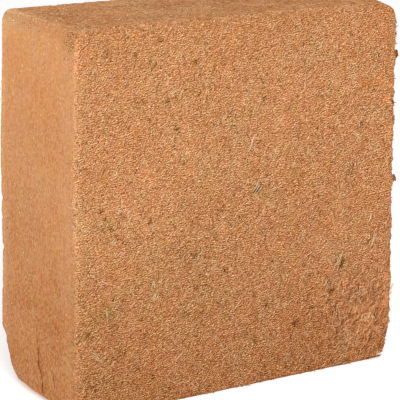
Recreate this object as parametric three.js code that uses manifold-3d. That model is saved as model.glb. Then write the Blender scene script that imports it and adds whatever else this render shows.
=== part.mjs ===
// Compressed bale of coconut coir, in the usual 5 kg size, standing on one of its pressed walls.
// Millimetres, +Z up. The two large faces, rough and granular, look along -Y and +Y. The four
// walls that the mould pressed smooth look along -X, +X, +Z and -Z. The origin is on the ground,
// under the middle of the bale.

import * as THREE from 'three';
import { mergeVertices } from 'three/addons/utils/BufferGeometryUtils.js';
import Module from 'manifold-3d';

const wasm = await Module();
wasm.setup();

// Driving dimensions
const WIDTH = 300;
const DEPTH = 120;
const HEIGHT = 300;
const MOULD_RADIUS = 13; // the four corners of the mould, seen along Y
const EDGE_RADIUS = 2.4; // from a pressed wall to a rough face

// How the bale has swollen and settled since it left the mould
const BASE_SPREAD = { x: 2.4, y: 0.1 }; // added to the half-width and half-depth at the base
const TOP_SPREAD = { x: -0.6, y: -2.6 }; // the same at the top
const TOP_RISE = { left: 0.4, right: 0.8 }; // added to the height at the left and right walls
const TOP_LEAN = { x: -0.6, y: 0.8 }; // the top's shift from straight above the base
const WALL_BULGE = { height: 190, reach: 45, depth: 1.3 }; // on the left wall
const WALL_DENT = { height: 97, reach: 22, depth: -0.6 };

// Relief of the two large faces
const CROWN = 0.8; // the middle stands this far out of the rim
const LUMPS = [
  { pitch: 34, height: 0.7 },
  { pitch: 13, height: 0.6 },
];
const GRAIN_HEIGHT = 0.6;
const GRAIN_SHIFT = 1.6; // sideways scatter of the lumps
const PIT = { pitch: 19, threshold: 0.52, depth: 5.5 };

// Crumbled rim between the walls and the large faces
const CHIP = { pitch: 8, threshold: 0.3, depth: 3.4 };
const RIM_REACH = 6; // the relief fades out over this distance from the rim

// Corners that have worn away: which corner, how far along its edges, and how deep in each direction
const WORN_CORNERS = [
  { side: { x: -1, y: 1 }, height: 0, reach: { across: 44, up: 46 }, depth: { x: 4, y: 17, z: 0 } },
  { side: { x: 1, y: -1 }, height: 0, reach: { across: 20, up: 34 }, depth: { x: 4, y: 3, z: 0 } },
  { side: { x: -1, y: -1 }, height: HEIGHT, reach: { across: 22, up: 24 }, depth: { x: 2, y: 2, z: 1 } },
  { side: { x: 1, y: -1 }, height: HEIGHT, reach: { across: 26, up: 16 }, depth: { x: 0.5, y: 1, z: 3 } },
  { side: { x: 1, y: 1 }, height: HEIGHT, reach: { across: 24, up: 30 }, depth: { x: 3, y: 3, z: 2 } },
];
const WEAR_ROUGHNESS = 0.25; // how much the depth of the wear varies

// Knots of fibre that stand out of the front right edge: height, and how far out
const EDGE_KNOTS = [
  { height: 256, reach: 9, out: 2.6 },
  { height: 150, reach: 8, out: 2.2 },
  { height: 60, reach: 8, out: 1.6 },
];

// Cracks in the left wall, from the top down, as [y, z] in the plane of the wall
const CRACKS = [
  {
    path: [[4, 51], [2, 37], [0.4, 26], [-1.2, 21], [-4.5, 15], [-6, 9], [-7, 5], [-8, -3]],
    width: 1.5,
    depth: 7,
  },
  { path: [[-23.6, 24], [-24.6, 20], [-26, 15]], width: 1.0, depth: 3 },
];
const CRACK_TIP_SHARE = 0.2; // width and depth at a crack's upper end, as a share of the full ones
const CRACK_OVERSHOOT = 4; // how far outside the wall the wedge that cuts a crack starts

// Grid lines of the surface: first the distances from each edge, then even steps between them
const RIM_STEPS = [0, 1.6, 4.5, 8.5, 12];
const FACE_CELLS = 26;
const WALL_CELLS = 4;
const MERGE_TOLERANCE = 1e-4;

// Which part of the noise each kind of relief is read from
const LAYER = { lumps: 50.5, grain: 60.5, shiftX: 61.5, shiftZ: 62.5, pits: 57.5, chips: 20.5 };

function gridLines(size, evenCells) {
  const near = RIM_STEPS.map((step) => step - size / 2);
  const far = RIM_STEPS.map((step) => size / 2 - step).reverse();
  const first = near[near.length - 1];
  const even = [];
  for (let i = 1; i < evenCells; i += 1) {
    even.push(first + (i / evenCells) * (far[0] - first));
  }
  return [...near, ...even, ...far];
}

// A number from 0 to 1 that looks random but is the same for the same place
function hash(ix, iy, iz) {
  const value = Math.sin(ix * 127.1 + iy * 311.7 + iz * 74.7) * 43758.5453;
  return value - Math.floor(value);
}

// Smooth noise from -1 to 1, with one cell of its lattice to each unit
function noise(x, y, z) {
  const cell = [Math.floor(x), Math.floor(y), Math.floor(z)];
  const blend = [x - cell[0], y - cell[1], z - cell[2]].map((t) => t * t * (3 - 2 * t));
  let sum = 0;
  for (let corner = 0; corner < 8; corner += 1) {
    const step = [corner & 1, (corner >> 1) & 1, (corner >> 2) & 1];
    const weight = step.reduce((w, s, k) => w * (s ? blend[k] : 1 - blend[k]), 1);
    sum += weight * hash(cell[0] + step[0], cell[1] + step[1], cell[2] + step[2]);
  }
  return 2 * sum - 1;
}

const mix = (a, b, t) => a + (b - a) * t;
const fade = (distance, reach) => Math.max(0, 1 - distance / reach);
const bell = (distance, reach) => Math.exp(-((distance / reach) ** 2));

// Nearest point of the rounded square outline, for a point of the square's surface at (x, z)
// measured from the middle. It also gives the outward direction and the distance to the rim.
function roundedOutline(x, z) {
  const inner = { x: WIDTH / 2 - MOULD_RADIUS, z: HEIGHT / 2 - MOULD_RADIUS };
  const core = {
    x: THREE.MathUtils.clamp(x, -inner.x, inner.x),
    z: THREE.MathUtils.clamp(z, -inner.z, inner.z),
  };
  const rimDistance = Math.min(WIDTH / 2 - Math.abs(x), HEIGHT / 2 - Math.abs(z));
  const away = new THREE.Vector2(x - core.x, z - core.z);
  if (away.length() === 0) {
    const acrossX = WIDTH / 2 - Math.abs(x) < HEIGHT / 2 - Math.abs(z);
    const outward = acrossX ? new THREE.Vector2(Math.sign(x), 0) : new THREE.Vector2(0, Math.sign(z));
    return { x, z, outward, rimDistance };
  }
  const reach = Math.max(Math.abs(away.x), Math.abs(away.y));
  const outward = away.normalize();
  return { x: core.x + outward.x * reach, z: core.z + outward.y * reach, outward, rimDistance };
}

// Rounds the edge between a wall and a large face: a quarter circle, half of it on each of them
function roundEdge(point, outline, faceSign) {
  const faceDistance = DEPTH / 2 - Math.abs(point.y);
  const onFace = faceDistance === 0;
  const distance = onFace ? outline.rimDistance : faceDistance;
  if (distance >= EDGE_RADIUS) {
    return;
  }
  const half = (1 - distance / EDGE_RADIUS) * (Math.PI / 4);
  const angle = onFace ? half : Math.PI / 2 - half;
  const inset = EDGE_RADIUS * (1 - Math.sin(angle)) - (onFace ? outline.rimDistance : 0);
  point.x -= outline.outward.x * inset;
  point.z -= outline.outward.y * inset;
  point.y = faceSign * (DEPTH / 2 - EDGE_RADIUS * (1 - Math.cos(angle)));
}

// Lumps, pits and grain of a large face, with the crown across its middle
function addFaceRelief(point, outline, faceSign) {
  const inside = 1 - fade(outline.rimDistance, RIM_REACH);
  const scatter = (layer) => 2 * hash(point.x, faceSign * layer, point.z) - 1;
  let out = CROWN * Math.cos((point.x / WIDTH) * Math.PI) * Math.cos((point.z / HEIGHT) * Math.PI);
  for (const { pitch, height } of LUMPS) {
    out += height * noise(point.x / pitch, faceSign * LAYER.lumps, point.z / pitch);
  }
  const hollow = noise(point.x / PIT.pitch, faceSign * LAYER.pits, point.z / PIT.pitch);
  out -= PIT.depth * Math.max(0, hollow - PIT.threshold);
  out += GRAIN_HEIGHT * scatter(LAYER.grain);
  const shift = { x: GRAIN_SHIFT * scatter(LAYER.shiftX), z: GRAIN_SHIFT * scatter(LAYER.shiftZ) };
  point.y += faceSign * out * inside;
  point.x += shift.x * inside;
  point.z += shift.z * inside;
}

// Breaks small bits out of the rim, more on one stretch than on the next
function chipRim(point, outline, faceSign) {
  const rimDistance = outline.rimDistance + DEPTH / 2 - Math.abs(point.y);
  const near = fade(rimDistance, RIM_REACH);
  const along = noise(point.x / CHIP.pitch, faceSign * LAYER.chips, point.z / CHIP.pitch);
  const bite = CHIP.depth * near * Math.max(0, along - CHIP.threshold);
  point.y -= faceSign * bite;
  point.x -= outline.outward.x * bite;
  point.z -= outline.outward.y * bite;
}

// The left wall bulges at one height and is dented at another, and knots stand out of one edge
function shapeWalls(point, outline) {
  const left = Math.max(0, -outline.x / (WIDTH / 2));
  for (const { height, reach, depth } of [WALL_BULGE, WALL_DENT]) {
    point.x -= left * depth * bell(point.z + HEIGHT / 2 - height, reach);
  }
  const edgeDistance = Math.hypot(outline.x - WIDTH / 2, point.y + DEPTH / 2);
  for (const { height, reach, out } of EDGE_KNOTS) {
    point.x += out * bell(point.z + HEIGHT / 2 - height, reach) * fade(edgeDistance, reach);
  }
}

function wearCorners(point) {
  for (const { side, height, reach, depth } of WORN_CORNERS) {
    const across = Math.hypot(point.x - (side.x * WIDTH) / 2, point.y - (side.y * DEPTH) / 2);
    const share = fade(across, reach.across) * fade(Math.abs(point.z - height), reach.up);
    const bumps = noise(point.x / CHIP.pitch, point.y / CHIP.pitch, point.z / CHIP.pitch);
    const wear = share * (1 + WEAR_ROUGHNESS * bumps);
    point.x -= side.x * depth.x * wear;
    point.y -= side.y * depth.y * wear;
    point.z -= depth.z * wear;
  }
}

// Swelling, lean and rise of the whole bale; the base stays flat on the ground
function settle(point) {
  const level = point.z / HEIGHT;
  const across = point.x / WIDTH + 0.5;
  point.x *= 1 + mix(BASE_SPREAD.x, TOP_SPREAD.x, level) / (WIDTH / 2);
  point.y *= 1 + mix(BASE_SPREAD.y, TOP_SPREAD.y, level) / (DEPTH / 2);
  point.x += TOP_LEAN.x * level;
  point.y += TOP_LEAN.y * level;
  point.z *= 1 + mix(TOP_RISE.left, TOP_RISE.right, across) / HEIGHT;
}

function baleSurface() {
  const lines = {
    x: gridLines(WIDTH, FACE_CELLS),
    y: gridLines(DEPTH, WALL_CELLS),
    z: gridLines(HEIGHT, FACE_CELLS),
  };
  const counts = [lines.x.length - 1, lines.y.length - 1, lines.z.length - 1];
  const box = new THREE.BoxGeometry(2, 2, 2, ...counts);
  box.deleteAttribute('normal');
  box.deleteAttribute('uv');
  const surface = mergeVertices(box, MERGE_TOLERANCE);
  const position = surface.getAttribute('position');
  const lineAt = (list, value) => list[Math.round(((value + 1) / 2) * (list.length - 1))];
  const point = new THREE.Vector3();
  for (let i = 0; i < position.count; i += 1) {
    const start = new THREE.Vector3().fromBufferAttribute(position, i);
    const outline = roundedOutline(lineAt(lines.x, start.x), lineAt(lines.z, start.z));
    point.set(outline.x, lineAt(lines.y, start.y), outline.z);
    const faceSign = Math.sign(point.y);
    const onFace = Math.abs(point.y) === DEPTH / 2;
    const onBase = !onFace && point.z === -HEIGHT / 2;
    roundEdge(point, outline, faceSign);
    if (onFace) {
      addFaceRelief(point, outline, faceSign);
    }
    if (!onBase) {
      chipRim(point, outline, faceSign);
      shapeWalls(point, outline);
    }
    point.z = Math.max(0, point.z + HEIGHT / 2);
    wearCorners(point);
    settle(point);
    position.setXYZ(i, point.x, point.y, point.z);
  }
  return surface;
}

function toSolid(geometry) {
  const vertProperties = new Float32Array(geometry.getAttribute('position').array);
  const triVerts = new Uint32Array(geometry.getIndex().array);
  return new wasm.Manifold(new wasm.Mesh({ numProp: 3, vertProperties, triVerts }));
}

// A wedge that opens outwards from the left wall and follows the crack's path down
function crackWedge({ path, width, depth }) {
  const outside = -WIDTH / 2 - CRACK_OVERSHOOT;
  const points = [];
  path.forEach(([y, z], i) => {
    const share = mix(CRACK_TIP_SHARE, 1, i / (path.length - 1));
    const halfWidth = (width * share) / 2;
    points.push(outside, y - halfWidth, z, outside, y + halfWidth, z);
    points.push(-WIDTH / 2 + depth * share, y, z);
  });
  const faces = [0, 2, 1];
  for (let i = 0; i < path.length - 1; i += 1) {
    const ring = 3 * i;
    for (let side = 0; side < 3; side += 1) {
      const next = (side + 1) % 3;
      faces.push(ring + side, ring + 3 + next, ring + 3 + side);
      faces.push(ring + side, ring + next, ring + 3 + next);
    }
  }
  const last = 3 * (path.length - 1);
  faces.push(last, last + 1, last + 2);
  const wedge = new THREE.BufferGeometry();
  wedge.setAttribute('position', new THREE.BufferAttribute(new Float32Array(points), 3));
  wedge.setIndex(faces);
  return wedge;
}

function makeBale() {
  let solid = toSolid(baleSurface());
  for (const crack of CRACKS) {
    solid = solid.subtract(toSolid(crackWedge(crack)));
  }
  const { vertProperties, triVerts } = solid.getMesh();
  const geometry = new THREE.BufferGeometry();
  geometry.setAttribute('position', new THREE.BufferAttribute(vertProperties, 3));
  geometry.setIndex(new THREE.BufferAttribute(triVerts, 1));
  geometry.computeVertexNormals();
  const coir = new THREE.MeshStandardMaterial({ color: 0xc48858, roughness: 0.95, metalness: 0 });
  const bale = new THREE.Mesh(geometry, coir);
  bale.name = 'coir_bale';
  return bale;
}

const model = new THREE.Group();
model.add(makeBale());

export default model;
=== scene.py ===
# Compressed bale of coconut coir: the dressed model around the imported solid, with a pale floor,
# soft studio light and the camera at the photograph's viewing angle.
#
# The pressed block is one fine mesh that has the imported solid's own shape. Grains and fibres are
# joined meshes that lie on it. Lengths are in millimetres until a mesh is made.

import math

import bpy
import numpy as np
from mathutils import Matrix, Vector


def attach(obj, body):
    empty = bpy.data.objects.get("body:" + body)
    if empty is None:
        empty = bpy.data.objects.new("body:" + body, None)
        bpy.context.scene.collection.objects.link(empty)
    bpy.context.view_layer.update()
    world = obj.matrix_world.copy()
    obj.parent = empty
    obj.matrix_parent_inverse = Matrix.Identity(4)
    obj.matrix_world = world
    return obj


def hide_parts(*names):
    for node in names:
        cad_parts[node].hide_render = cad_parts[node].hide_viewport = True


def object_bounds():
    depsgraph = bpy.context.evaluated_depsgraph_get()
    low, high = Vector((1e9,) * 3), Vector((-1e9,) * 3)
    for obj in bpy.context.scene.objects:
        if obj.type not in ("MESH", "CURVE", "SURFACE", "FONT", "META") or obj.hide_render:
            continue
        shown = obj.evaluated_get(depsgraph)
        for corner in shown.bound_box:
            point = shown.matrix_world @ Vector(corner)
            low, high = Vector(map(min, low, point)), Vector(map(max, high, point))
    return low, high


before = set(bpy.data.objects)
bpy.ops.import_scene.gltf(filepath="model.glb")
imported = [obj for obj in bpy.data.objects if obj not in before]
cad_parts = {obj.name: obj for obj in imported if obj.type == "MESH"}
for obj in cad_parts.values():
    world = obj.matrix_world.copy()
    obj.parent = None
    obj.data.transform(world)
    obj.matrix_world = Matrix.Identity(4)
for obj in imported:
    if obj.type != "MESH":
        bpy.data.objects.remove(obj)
cad_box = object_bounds()

MM = 0.001
TINY = 1e-9  # the least length that a direction is divided by
RANDOM = np.random.default_rng(5)

# Driving dimensions of the block, as it left the mould
SIZE = np.array([300.0, 120.0, 300.0])
HALF = SIZE / 2
MOULD_RADIUS = 13
TOP_LEFT_RADIUS = 8
TOP_RIGHT_RADIUS = 10
BASE_LEFT_RADIUS = 11
EDGE_RADIUS = 2.4

# The block's shape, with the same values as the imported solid: how it has swollen and settled
BASE_SPREAD = np.array([2.4, 0.1])  # added to the half-width and half-depth at the base
TOP_SPREAD = np.array([-0.6, -2.6])  # the same at the top
TOP_RISE = {"left": 0.4, "right": 0.8}
TOP_LEAN = np.array([-0.6, 0.8])
WALL_BULGES = [{"height": 190, "reach": 45, "depth": 1.3}, {"height": 97, "reach": 22, "depth": -0.6}]
# Knots of fibre on the front right edge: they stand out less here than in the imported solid, and
# loose fibres take the rest of their room
EDGE_KNOTS = [
    {"height": 256, "reach": 9, "out": 0.8},
    {"height": 150, "reach": 8, "out": 1.0},
    {"height": 62, "reach": 8, "out": 1.5},
]

# Relief of the two large faces, and the crumbled rim
CROWN = 0.8
LUMPS = [{"pitch": 34, "height": 0.7}, {"pitch": 13, "height": 0.6}]
PIT = {"pitch": 19, "threshold": 0.52, "depth": 5.5}
CHIP = {"pitch": 8, "threshold": 0.3, "depth": 3.4}
RIM_REACH = 6

# Corners that have worn away: side along X and Y, height, reach across and up, depth
WORN_CORNERS = [
    {"side": (-1, 1), "height": 0, "across": 44, "up": 46, "depth": (4, 17, 0)},
    {"side": (1, -1), "height": 0, "across": 20, "up": 34, "depth": (4, 3, 0)},
    {"side": (-1, -1), "height": 300, "across": 22, "up": 24, "depth": (2, 2, 1)},
    {"side": (1, -1), "height": 300, "across": 30, "up": 16, "depth": (0.5, 1, 4)},
    {"side": (1, 1), "height": 300, "across": 24, "up": 30, "depth": (3, 3, 2)},
]
WEAR_ROUGHNESS = 0.25

ON_BASE = 0.01  # points within this height of the base are part of its flat middle

# The rims are frayed: much in a band along the base and the right side, little elsewhere. A finer
# wave, of part of the height, is added to the main one
FRAY = {
    "pitch": 4.5,
    "depth": 1.9,
    "reach": 4.5,
    "band": 9,
    "elsewhere": 0.15,
    "finer": 2.3,
    "finer_height": 0.5,
    "middle": 0.5,
}

# Lattice of the fine mesh: distances of the first lines from each rim, then even cells
RIM_STEPS = np.array([0, 0.7, 1.4, 2.1, 2.8, 3.7, 4.8, 6.1, 7.6, 9.3, 11.2])
FACE_CELLS = 166
WALL_CELLS = 8

# Cracks in the left wall: the lattice column that follows each one, and its path from the base
# up, as (height, place along Y, depth)
# The darkness of each crack is painted shade: the deeper it is, the darker
CRACKS = [
    {
        "column": -4.5,
        "width": 1.8,
        "painted_shade": 0.66,
        "path": [(0, -8.6, 0), (7, -8.4, 0), (9, -8.2, 4.5), (12.5, -8.1, 4.5), (15, -8, 3.6), (17, -8, 0),
                 (20, -7.9, 0.6), (22, -6.6, 3.5), (25, -5, 2.4), (27.7, -3.4, 6.5), (29.4, -2, 5),
                 (31.5, -1.7, 3.5), (33.5, -1.6, 1.2), (35.5, -1.6, 1), (37, -1.7, 0), (38.6, -1.7, 5.5),
                 (40, -1.6, 5.5), (41.7, -0.8, 2.5), (44, -0.2, 0.4), (47, 0.3, 0.5), (51, 0.2, 0.9),
                 (54, 0.6, 0.2), (56.5, 1.3, 0.8), (60, 1.4, 0)],
    },
    {
        "column": -26.0,
        "width": 1.5,
        "painted_shade": 0.6,
        "path": [(18, -28, 0), (20.7, -27.2, 1.4), (23, -26.6, 0.6), (26, -25.8, 1.6), (28.9, -24.8, 0.8),
                 (31, -24.4, 0)],
    },
]
CRACK_JITTER = {"pitch": 3, "shift": 0.5}
CRACK_CLEAR = 3.4  # no other lattice column comes this near to a crack's own
CRACK_COLUMNS = [-2, -1, 0, 1, 2]  # the crack's own columns, in half widths from its middle
CRACK_LIPS = 0.3  # how much of the crack's depth and painted shade its lips have
CRACK_FULL = 4  # the depth at which its painted shade is darkest
CRACK_PULL = 16  # columns within this distance lean towards the crack
CRACK_LEAN = 30  # the lean fades out over this distance from the left wall

# Relief of the fine mesh, as (pitch, height), and how far it lies inside the solid's surface
ROUGH_RELIEF = [(7.0, 0.05), (3.1, 0.07)]
ROUGH_SCATTER = 0.08
ROUGH_INSET = 0.5
WALL_RELIEF = [(11.0, 0.08), (3.0, 0.04)]
WALL_SCATTER = 0.03
WALL_INSET = 0.12
CRUMBLE_WIDTH = {"least": 1.5, "most": 6.5, "more_on_top": 8, "pitch": 16}  # rough rim of a wall
FACE_SHARPNESS = 1.6  # how soon a face is fully rough, from its edge on
TOP_ROUGHNESS = 0.75
RUBBED_RIM = {"reach": 20, "roughness": 0.62, "sharpness": 1.5}  # on the walls, along the front face
SMOOTH_RIM = {"reach": 2.6, "less": 0.45}  # the left rim of the front face is worn smooth
TOP_LEFT_CRUMBS = {"height": 294, "reach": 4.5, "roughness": 0.75}

# Places on the walls that have crumbled, as (centre, reach, how much paler)
CRUMBLED = [
    ((-150, -52, 291), 17, 0),
    ((-140, -48, 300), 20, 0),
    ((-150, 10, 297), 9, 0.06),
    ((-150, 36, 295), 9, 0.12),
    ((-150, 52, 298), 9, 0.14),
    ((-148, 37, 7), 10, 0.06),
    ((-147, 20, 3), 8, 0.06),
    ((-147, 2, 2), 7, 0.05),
]
CRUMBLED_EDGE = {"pitch": 5, "wave": 0.35, "sharpness": 1.6}  # how ragged and sudden it is
CRUMBLED_HUE = -0.04

# Tone runs from 0, darkest, to 1, palest; hue from 0, reddish, over 0.5 to 1, olive grey
TONES = [
    (0.0, (68, 33, 8)),
    (0.2, (115, 63, 23)),
    (0.4, (167, 105, 59)),
    (0.55, (199, 146, 103)),
    (0.7, (219, 171, 129)),
    (0.85, (235, 201, 160)),
    (1.0, (245, 226, 190)),
]
HUES = [(0.0, (255, 225, 193)), (0.5, (242, 244, 242)), (1.0, (214, 240, 222))]
# How the tone changes from the top to the base: at the top, and how it turns on the way down. The darkening
# towards the base is painted shade. On the face, the down term lifts the middle against the key light's
# fall-off, which is painted light
FACE_TONE_AND_PAINTED_SHADE = {"top": 0.442, "down": 0.095, "base": -0.168}
WALL_TONE_AND_PAINTED_SHADE = {"top": 0.617, "down": -0.145}
HUE = {"wall": 0.19, "wall_base": 0.17, "face": 0.46, "right": -0.12}

# Mottling of tone and hue, as (pitch, strength)
TONE_MOTTLE = [(60, 0.02), (21, 0.012), (7, 0.008)]
HUE_MOTTLE = [(48, 0.05), (15, 0.07), (6, 0.05)]
CLUSTER = {"pitch": 11, "threshold": 0.05, "soft": 0.4, "hue": 0.07}
TOP_LOOK = {"tone": 0.05, "hue": -0.06, "left": 0.05, "reach": 14}
TOP_MOTTLE = [(26, 0.04), (11, 0.04), (5, 0.025)]
TOP_BAND = {"below": 0.5, "reach": 3}  # the top's look begins to fade this far below it

# Where each kind of noise is read from: the solid's own kinds, and those of the fine mesh
SOLID_LAYER = {"lumps": 50.5, "pits": 57.5, "chips": 20.5}
LAYER = {"relief": 11.5, "crumble": 23.5, "tone": 37.5, "hue": 53.5, "cluster": 71.5}


# Noise


# Numbers that shuffle the digits of a place
HASH_STEPS = (127.1, 311.7, 74.7)
HASH_SCALE = 43758.5453


def hash_at(x, y, z):
    """A number from 0 to 1 for each whole place, which looks random but is always the same."""
    value = np.sin(x * HASH_STEPS[0] + y * HASH_STEPS[1] + z * HASH_STEPS[2]) * HASH_SCALE
    return value - np.floor(value)


def noise(x, y, z):
    """Smooth noise from -1 to 1, with one cell of its lattice to each unit."""
    place = np.broadcast_arrays(x, y, z)
    cell = [np.floor(p) for p in place]
    blend = [(p - c) ** 2 * (3 - 2 * (p - c)) for p, c in zip(place, cell)]
    total = 0
    for corner in np.ndindex(2, 2, 2):
        weight = 1
        for share, step in zip(blend, corner):
            weight = weight * (share if step else 1 - share)
        total = total + weight * hash_at(*[c + step for c, step in zip(cell, corner)])
    return 2 * total - 1


def noise_at(points, pitch, layer=0):
    return noise(*(points.T / pitch + layer))


def octaves(points, layers, seed):
    """Several sizes of noise together, each as (pitch, strength)."""
    return sum(
        strength * noise(*(points.T / pitch + seed + i)) for i, (pitch, strength) in enumerate(layers)
    )


def fade(distance, reach):
    return np.clip(1 - distance / reach, 0, 1)


def bell(distance, reach):
    return np.exp(-((distance / reach) ** 2))


def mix(first, second, share):
    return first + (second - first) * share


def unit(directions):
    """The same directions with a length of 1; none stays none."""
    return directions / np.maximum(np.linalg.norm(directions, axis=-1, keepdims=True), TINY)


def around(middle, spread, count):
    """Random numbers around a middle."""
    return middle + spread * RANDOM.normal(size=count)


def within(limits, count):
    """Random numbers between two limits."""
    return RANDOM.uniform(*limits, count)


# The block's lattice


def side_lines(half, cells):
    """Lattice lines across one side: close together near both rims, then even."""
    rim = half - RIM_STEPS
    middle = np.linspace(-rim[-1], rim[-1], cells + 1)
    return np.concatenate([-rim, middle[1:-1], rim[::-1]])


def depth_lines():
    """Lattice lines from the front face to the back one, with each crack's own columns."""
    lines = side_lines(HALF[1], WALL_CELLS)
    for crack in CRACKS:
        lines = lines[np.abs(lines - crack["column"]) > CRACK_CLEAR]
        lines = np.append(lines, crack["column"] + crack["width"] / 2 * np.array(CRACK_COLUMNS))
    return np.sort(lines)


LINES = [side_lines(HALF[0], FACE_CELLS), depth_lines(), side_lines(HALF[2], FACE_CELLS)]


def number_lattice():
    """Numbers the lattice points on the block's surface. Points inside it get -1."""
    counts = [len(lines) for lines in LINES]
    surface = np.zeros(counts, bool)
    for axis in range(3):
        np.moveaxis(surface, axis, 0)[[0, -1]] = True
    numbers = np.full(counts, -1)
    numbers[surface] = np.arange(surface.sum())
    steps = np.argwhere(surface)
    places = np.stack([LINES[axis][steps[:, axis]] for axis in range(3)], axis=1)
    return numbers, places


# Each side: which axis it faces along, and at which end of it
SIDES = {"front": (1, 0), "back": (1, -1), "left": (0, 0), "right": (0, -1), "base": (2, 0), "top": (2, -1)}


def outward_cells(grid, side):
    """The four corners of each cell of a side's grid, in the order that faces outwards."""
    axis, end = SIDES[side]
    corners = np.stack([grid[:-1, :-1], grid[1:, :-1], grid[1:, 1:], grid[:-1, 1:]], axis=2)
    corners = corners.reshape(-1, 4, *grid.shape[2:])
    inside_out = (end == 0) != (axis == 1)
    return corners[:, ::-1] if inside_out else corners


def side_quads(numbers, side):
    """One side's cells, as four point numbers each."""
    axis, end = SIDES[side]
    return outward_cells(np.take(numbers, end, axis), side)


def round_block(places):
    """Rounds the block's corners and edges. Gives the new places, the outline's outward
    directions seen along Y, the surface's own directions, and the distance from the rim."""
    seen_along_y = places[:, [0, 2]]
    at_left = places[:, 0] < 0
    top_radius = np.where(at_left, TOP_LEFT_RADIUS, TOP_RIGHT_RADIUS)
    base_radius = np.where(at_left, BASE_LEFT_RADIUS, MOULD_RADIUS)
    radius = np.where(places[:, 2] > 0, top_radius, base_radius)[:, None]
    inner = HALF[[0, 2]] - radius
    core = np.clip(seen_along_y, -inner, inner)
    away = seen_along_y - core
    reach = np.abs(away).max(axis=1, keepdims=True)
    outward = unit(away)
    wall_distance = (HALF[[0, 2]] - np.abs(seen_along_y)).min(axis=1)
    face_distance = HALF[1] - np.abs(places[:, 1])
    on_face = face_distance == 0
    distance = np.where(on_face, wall_distance, face_distance)
    turn = fade(distance, EDGE_RADIUS) * math.pi / 4
    angle = np.where(on_face, turn, math.pi / 2 - turn)[:, None]
    near = (distance < EDGE_RADIUS)[:, None]
    inset = EDGE_RADIUS * (1 - np.sin(angle)) - np.where(on_face, wall_distance, 0)[:, None]
    sunk = EDGE_RADIUS * (1 - np.cos(angle))
    flat = core + outward * (reach - np.where(near, inset, 0))
    sign = np.sign(places[:, 1:2])
    depth = np.where(near, sign * (HALF[1] - sunk), places[:, 1:2])
    rounded = np.concatenate([flat[:, :1], depth, flat[:, 1:]], axis=1)
    direction = np.concatenate(
        [outward[:, :1] * np.sin(angle), sign * np.cos(angle), outward[:, 1:] * np.sin(angle)], axis=1
    )
    return rounded, outward, unit(direction), wall_distance + face_distance, on_face


def add_face_relief(points, wall_distance, on_face):
    """Crown, lumps and pits of the large faces."""
    x, z = points[:, 0], points[:, 2]
    sign = np.sign(points[:, 1])
    out = CROWN * np.cos(math.pi * x / SIZE[0]) * np.cos(math.pi * z / SIZE[2])
    for lump in LUMPS:
        pitch = lump["pitch"]
        out += lump["height"] * noise(x / pitch, sign * SOLID_LAYER["lumps"], z / pitch)
    hollow = noise(x / PIT["pitch"], sign * SOLID_LAYER["pits"], z / PIT["pitch"])
    out -= PIT["depth"] * np.maximum(0, hollow - PIT["threshold"])
    points[:, 1] += sign * out * on_face * (1 - fade(wall_distance, RIM_REACH))


def chip_rim(points, outward, rim_distance):
    """Breaks small bits out of the rim."""
    x, z = points[:, 0], points[:, 2]
    sign = np.sign(points[:, 1])
    along = noise(x / CHIP["pitch"], sign * SOLID_LAYER["chips"], z / CHIP["pitch"])
    bite = CHIP["depth"] * fade(rim_distance, RIM_REACH) * np.maximum(0, along - CHIP["threshold"])
    points[:, 1] -= sign * bite
    points[:, [0, 2]] -= outward * bite[:, None]


def shape_walls(points, outline_x):
    """Bulges of the left wall, and the knots that stand out of the front right edge."""
    left = np.maximum(0, -outline_x / HALF[0])
    height = points[:, 2] + HALF[2]
    for bulge in WALL_BULGES:
        points[:, 0] -= left * bulge["depth"] * bell(height - bulge["height"], bulge["reach"])
    edge_distance = np.hypot(outline_x - HALF[0], points[:, 1] + HALF[1])
    for knot in EDGE_KNOTS:
        rise = bell(height - knot["height"], knot["reach"])
        points[:, 0] += knot["out"] * rise * fade(edge_distance, knot["reach"])


def fray_rims(points, directions, rim_distance):
    """Wears the rims unevenly."""
    at_base = fade(points[:, 2], FRAY["band"])
    at_right = fade(HALF[0] - points[:, 0], FRAY["band"])
    share = np.maximum(FRAY["elsewhere"], np.maximum(at_base, at_right))
    wave = noise_at(points, FRAY["pitch"])
    wave = wave + FRAY["finer_height"] * noise(*(FRAY["finer"] * points.T / FRAY["pitch"]))
    worn = np.clip(FRAY["middle"] + wave, 0, 1)
    bite = FRAY["depth"] * share * fade(rim_distance, FRAY["reach"]) * worn
    points -= directions * bite[:, None]


def wear_corners(points):
    for corner in WORN_CORNERS:
        side = np.array(corner["side"])
        across = np.linalg.norm(points[:, :2] - side * HALF[:2], axis=1)
        share = fade(across, corner["across"]) * fade(np.abs(points[:, 2] - corner["height"]), corner["up"])
        share *= 1 + WEAR_ROUGHNESS * noise_at(points, CHIP["pitch"])
        points -= share[:, None] * np.array(corner["depth"]) * [*side, 1]


def settle(points):
    """Swelling, lean and rise of the whole block; the base stays flat on the ground."""
    level = points[:, 2:] / SIZE[2]
    across = points[:, 0] / SIZE[0] + 0.5
    points[:, :2] *= 1 + mix(BASE_SPREAD, TOP_SPREAD, level) / HALF[:2]
    points[:, :2] += TOP_LEAN * level
    points[:, 2] *= 1 + mix(TOP_RISE["left"], TOP_RISE["right"], across) / SIZE[2]


def crack_values(crack, heights):
    """Where the crack runs along Y at each height, and how deep it is there."""
    path = np.array(crack["path"])
    along = np.interp(heights, path[:, 0], path[:, 1])
    along = along + CRACK_JITTER["shift"] * noise(heights / CRACK_JITTER["pitch"], 0.5, 0.5)
    depth = np.interp(heights, path[:, 0], path[:, 2])
    return along, depth


def lean_to_cracks(places):
    """Leans the left wall's lattice so that each crack's own columns follow its path."""
    near_wall = fade(places[:, 0] + HALF[0], CRACK_LEAN)
    shift = np.zeros(len(places))
    for crack in CRACKS:
        along, _ = crack_values(crack, places[:, 2] + HALF[2])
        pull = fade(np.abs(places[:, 1] - crack["column"]) - CRACK_CLEAR / 2, CRACK_PULL)
        shift += (along - crack["column"]) * pull
    leaned = places.copy()
    leaned[:, 1] += shift * near_wall
    return leaned


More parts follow.
